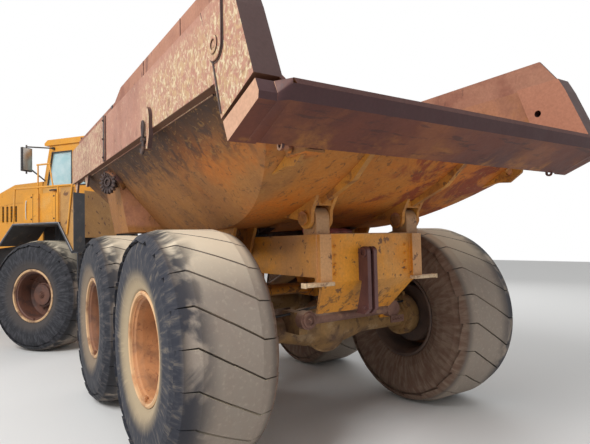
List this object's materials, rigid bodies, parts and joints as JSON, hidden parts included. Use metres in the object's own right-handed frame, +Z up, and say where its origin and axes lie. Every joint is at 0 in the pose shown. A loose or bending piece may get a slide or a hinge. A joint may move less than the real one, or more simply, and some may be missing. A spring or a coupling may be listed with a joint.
{
  "type": "articulated dump truck",
  "caption": "Articulated dump truck with a hinged tractor, tandem rear axles and a worn rear-tipping bed lifted by hoist cylinders",
  "frame": {"origin": "centre of the bounding box at the height of the ground under the tyres", "axes": "+X forward along the rear frame, +Y left, +Z up"},
  "size_m": [11.1686, 5.1828, 3.6],
  "materials": {
    "yellow": "satin",
    "rust": "matte",
    "red": "matte",
    "faded": "matte",
    "beige": "matte",
    "dark": "matte",
    "iron": "matte",
    "glass": "gloss",
    "seat": "matte",
    "black": "satin",
    "lamp": "gloss",
    "rod": "gloss",
    "tyre": "matte",
    "rim": "matte"
  },
  "bodies": {
    "rear_frame": {"rear_frame": "yellow", "frame_neck": "yellow", "tow_plates": "rust", "hitch_yoke": "yellow", "rear_axles": "yellow", "bogie_beams": "yellow", "axle_rods": "rust", "safety_prop": "red"},
    "tractor": {"front_frame": "yellow", "front_axle": "yellow", "engine": "iron", "fenders": "dark", "rear_screen": "beige", "cab": "yellow", "cab_glass": "glass", "cab_seat": "seat", "bumper": "black", "head_lamps": "lamp", "side_tank": "yellow", "steps": "dark", "hand_rails": "yellow", "exhaust": "black", "mirrors": "dark"},
    "hood": {"hood": "yellow", "grille": "black"},
    "cab_door": {"cab_door": "yellow", "door_glass": "glass"},
    "bed": {"bed_floor": "faded", "bed_chute": "faded", "bed_front": "faded", "bed_sides": "faded", "bed_ears": "faded", "bed_rails": "faded", "side_ribs": "faded", "spill_guards": "rust", "tail_beam": "rust"},
    "hoist_barrel_left": {"hoist_barrel_left": "yellow"},
    "hoist_rod_left": {"hoist_rod_left": "rod"},
    "steer_barrel_left": {"steer_barrel_left": "yellow"},
    "steer_rod_left": {"steer_rod_left": "rod"},
    "hoist_barrel_right": {"hoist_barrel_right": "yellow"},
    "hoist_rod_right": {"hoist_rod_right": "rod"},
    "steer_barrel_right": {"steer_barrel_right": "yellow"},
    "steer_rod_right": {"steer_rod_right": "rod"},
    "wheel_front_left": {"tyre_front_left": "tyre", "rim_front_left": "rim"},
    "wheel_front_right": {"tyre_front_right": "tyre", "rim_front_right": "rim"},
    "wheel_mid_left": {"tyre_mid_left": "tyre", "rim_mid_left": "rim"},
    "wheel_mid_right": {"tyre_mid_right": "tyre", "rim_mid_right": "rim"},
    "wheel_rear_left": {"tyre_rear_left": "tyre", "rim_rear_left": "rim"},
    "wheel_rear_right": {"tyre_rear_right": "tyre", "rim_rear_right": "rim"}
  },
  "joints": [
    {"name": "steering", "type": "hinge", "parent": "rear_frame", "child": "tractor", "pos_m": [1.52569, -0.8984, 1], "axis": [0, 0, 1], "range_deg": [-82, 8]},
    {"name": "bed_tip", "type": "hinge", "parent": "rear_frame", "child": "bed", "pos_m": [-4.37931, -0.8984, 1.83], "axis": [0, -1, 0], "range_deg": [0, 70]},
    {"name": "hood_lift", "type": "hinge", "parent": "tractor", "child": "hood", "pos_m": [4.68829, 1.48478, 1.5], "axis": [-0.6018, 0.7986, 0], "range_deg": [0, 60]},
    {"name": "door_swing", "type": "hinge", "parent": "tractor", "child": "cab_door", "pos_m": [2.79589, -0.98552, 2.8], "axis": [0, 0, -1], "range_deg": [0, 75]},
    {"name": "hoist_swing_left", "type": "hinge", "parent": "rear_frame", "child": "hoist_barrel_left", "pos_m": [-1.61431, -0.2234, 1.03], "axis": [0, 1, 0], "range_deg": [0, 18.8]},
    {"name": "hoist_stroke_left", "type": "slide", "parent": "hoist_barrel_left", "child": "hoist_rod_left", "axis": [-0.9324, 0, 0.3613], "range_m": [0, 1.15]},
    {"name": "steer_swing_left", "type": "hinge", "parent": "rear_frame", "child": "steer_barrel_left", "pos_m": [0.72569, -0.5184, 1], "axis": [0, 0, 1], "range_deg": [-40, 5]},
    {"name": "steer_stroke_left", "type": "slide", "parent": "steer_barrel_left", "child": "steer_rod_left", "axis": [0.9338, 0.3579, 0], "range_m": [-0.0648, 0.6457]},
    {"name": "hoist_swing_right", "type": "hinge", "parent": "rear_frame", "child": "hoist_barrel_right", "pos_m": [-1.61431, -1.5734, 1.03], "axis": [0, 1, 0], "range_deg": [0, 18.8]},
    {"name": "hoist_stroke_right", "type": "slide", "parent": "hoist_barrel_right", "child": "hoist_rod_right", "axis": [-0.9324, 0, 0.3613], "range_m": [0, 1.15]},
    {"name": "steer_swing_right", "type": "hinge", "parent": "rear_frame", "child": "steer_barrel_right", "pos_m": [0.72569, -1.2784, 1], "axis": [0, 0, 1], "range_deg": [-40, 5]},
    {"name": "steer_stroke_right", "type": "slide", "parent": "steer_barrel_right", "child": "steer_rod_right", "axis": [0.9674, 0.2532, 0], "range_m": [-0.5454, 0.055]},
    {"name": "spin_front_left", "type": "hinge", "parent": "tractor", "child": "wheel_front_left", "pos_m": [1.611, 0.81619, 0.885], "axis": [-0.6018, 0.7986, 0], "continuous": true},
    {"name": "spin_front_right", "type": "hinge", "parent": "tractor", "child": "wheel_front_right", "pos_m": [3.19738, -1.28901, 0.885], "axis": [-0.6018, 0.7986, 0], "continuous": true},
    {"name": "spin_mid_left", "type": "hinge", "parent": "rear_frame", "child": "wheel_mid_left", "pos_m": [-1.82431, 0.4196, 0.885], "axis": [0, 1, 0], "continuous": true},
    {"name": "spin_mid_right", "type": "hinge", "parent": "rear_frame", "child": "wheel_mid_right", "pos_m": [-1.82431, -2.2164, 0.885], "axis": [0, 1, 0], "continuous": true},
    {"name": "spin_rear_left", "type": "hinge", "parent": "rear_frame", "child": "wheel_rear_left", "pos_m": [-3.76431, 0.4196, 0.885], "axis": [0, 1, 0], "continuous": true},
    {"name": "spin_rear_right", "type": "hinge", "parent": "rear_frame", "child": "wheel_rear_right", "pos_m": [-3.76431, -2.2164, 0.885], "axis": [0, 1, 0], "continuous": true}
  ],
  "couplings": [
    {"joint": "hoist_swing_left", "follows": "bed_tip", "ratio": 0.2665},
    {"joint": "hoist_stroke_left", "follows": "bed_tip", "m_per_rad": 0.9378},
    {"joint": "steer_swing_left", "follows": "steering", "ratio": 0.4792},
    {"joint": "steer_stroke_left", "follows": "steering", "m_per_rad": -0.4498},
    {"joint": "hoist_swing_right", "follows": "bed_tip", "ratio": 0.2665},
    {"joint": "hoist_stroke_right", "follows": "bed_tip", "m_per_rad": 0.9378},
    {"joint": "steer_swing_right", "follows": "steering", "ratio": 0.4814},
    {"joint": "steer_stroke_right", "follows": "steering", "m_per_rad": 0.3797}
  ]
}
